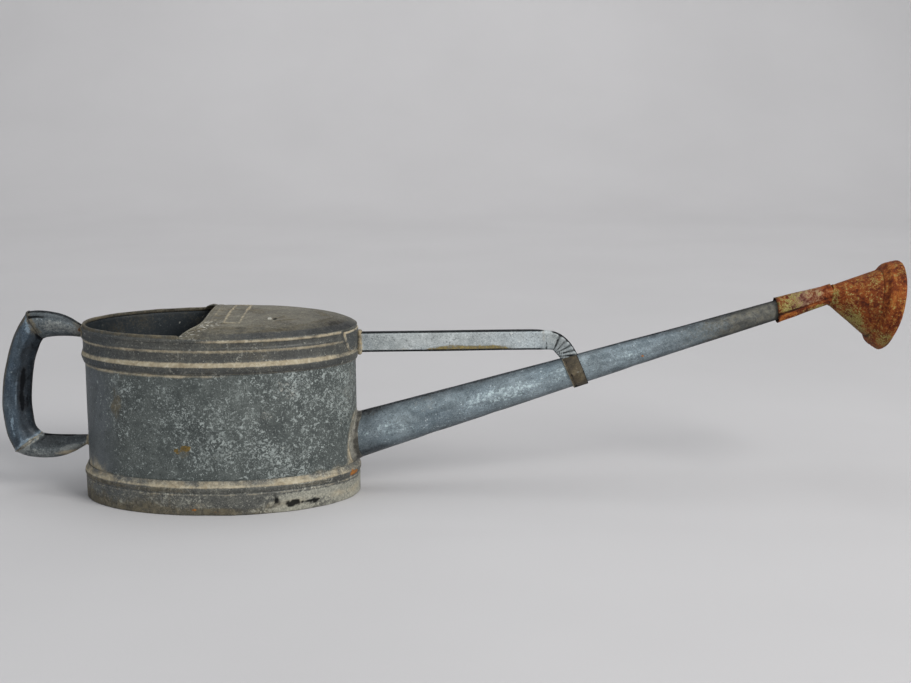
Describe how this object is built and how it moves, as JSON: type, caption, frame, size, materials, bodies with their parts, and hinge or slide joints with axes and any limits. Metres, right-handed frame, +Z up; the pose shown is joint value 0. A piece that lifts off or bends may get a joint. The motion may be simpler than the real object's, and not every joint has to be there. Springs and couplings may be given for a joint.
{
  "type": "watering can",
  "caption": "Oval galvanised watering can with half cover, hollow looped handle, long braced spout and a rusted push-on sprinkling rose that pulls off.",
  "frame": {"origin": "bottom centre of the overall box, on the plane that the foot ring stands on", "axes": "+X from the handle along the can to the rose, +Y across the can, +Z up"},
  "size_m": [0.9006, 0.1846, 0.2322],
  "materials": {
    "zinc_body": "dull mottled galvanised zinc with dust on the ledges and a few rust spots",
    "zinc_cover": "dusty brownish weathered zinc",
    "zinc_handle": "dark blue-grey weathered zinc with worn pale streaks",
    "zinc_spout": "pale blue-grey weathered zinc",
    "solder": "dull tan-stained solder",
    "brown_strap": "dark olive-brown tarnished strap",
    "rusted_paint": "orange-brown rust with remnants of yellow-green paint"
  },
  "bodies": {
    "can": {"body_wall": "zinc_body", "bottom_plate": "zinc_body", "foot_ring": "zinc_body", "top_collar": "zinc_body", "half_cover": "zinc_cover", "handle_top_arm": "zinc_handle", "handle_grip": "zinc_handle", "handle_bottom_arm": "zinc_handle", "spout_tube": "zinc_spout", "spout_root_flange": "solder", "brace_stay": "zinc_spout", "brace_foot_plate": "zinc_body", "spout_strap": "brown_strap"},
    "rose": {"rose_sleeve": "rusted_paint", "rose_cone": "rusted_paint", "rose_rim": "rusted_paint", "rose_face": "rusted_paint"}
  },
  "joints": [
    {"name": "rose_pull", "type": "slide", "parent": "can", "child": "rose", "axis": [0.9579, 0, 0.287], "range_m": [0, 0.06]}
  ]
}
